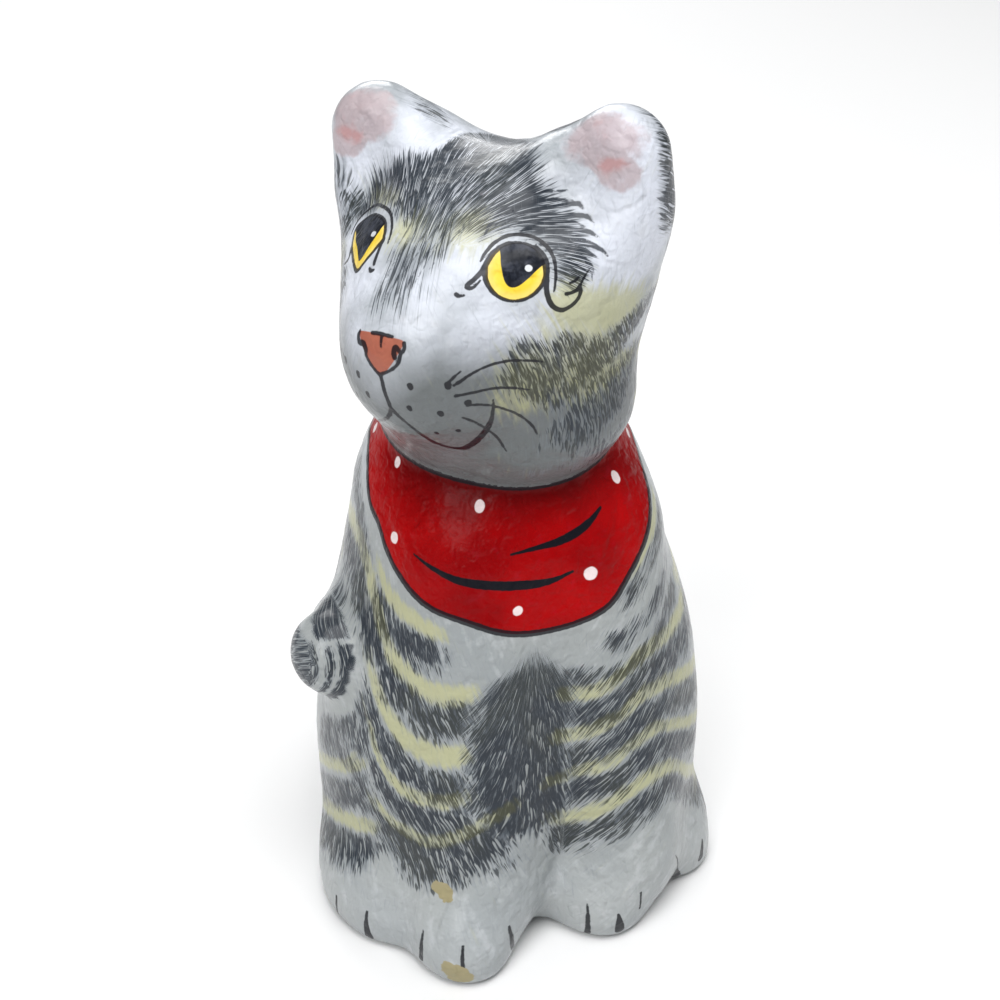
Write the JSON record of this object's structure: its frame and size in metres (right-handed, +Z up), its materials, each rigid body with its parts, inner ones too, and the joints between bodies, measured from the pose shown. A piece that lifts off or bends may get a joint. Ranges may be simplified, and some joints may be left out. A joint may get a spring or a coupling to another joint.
{
  "type": "papier-mache cat figurine",
  "caption": "Seated papier-mache cat moulded in one piece, head turned over its right shoulder, hand-painted tabby coat, red spotted neckerchief and clear varnish.",
  "frame": {"origin": "centre of the bounding box on the flat underside, where the cat stands", "axes": "+Z up, -Y the way the body and front paws face, +X the cat's left"},
  "size_m": [0.1252, 0.1264, 0.2342],
  "materials": {
    "painted_paper": "hand-painted pasted paper under glossy clear varnish: cool white ground, blue-grey and pale yellow tabby strokes, red neckerchief"
  },
  "bodies": {
    "root": {"papier_mache_cat": "painted_paper"}
  },
  "joints": []
}
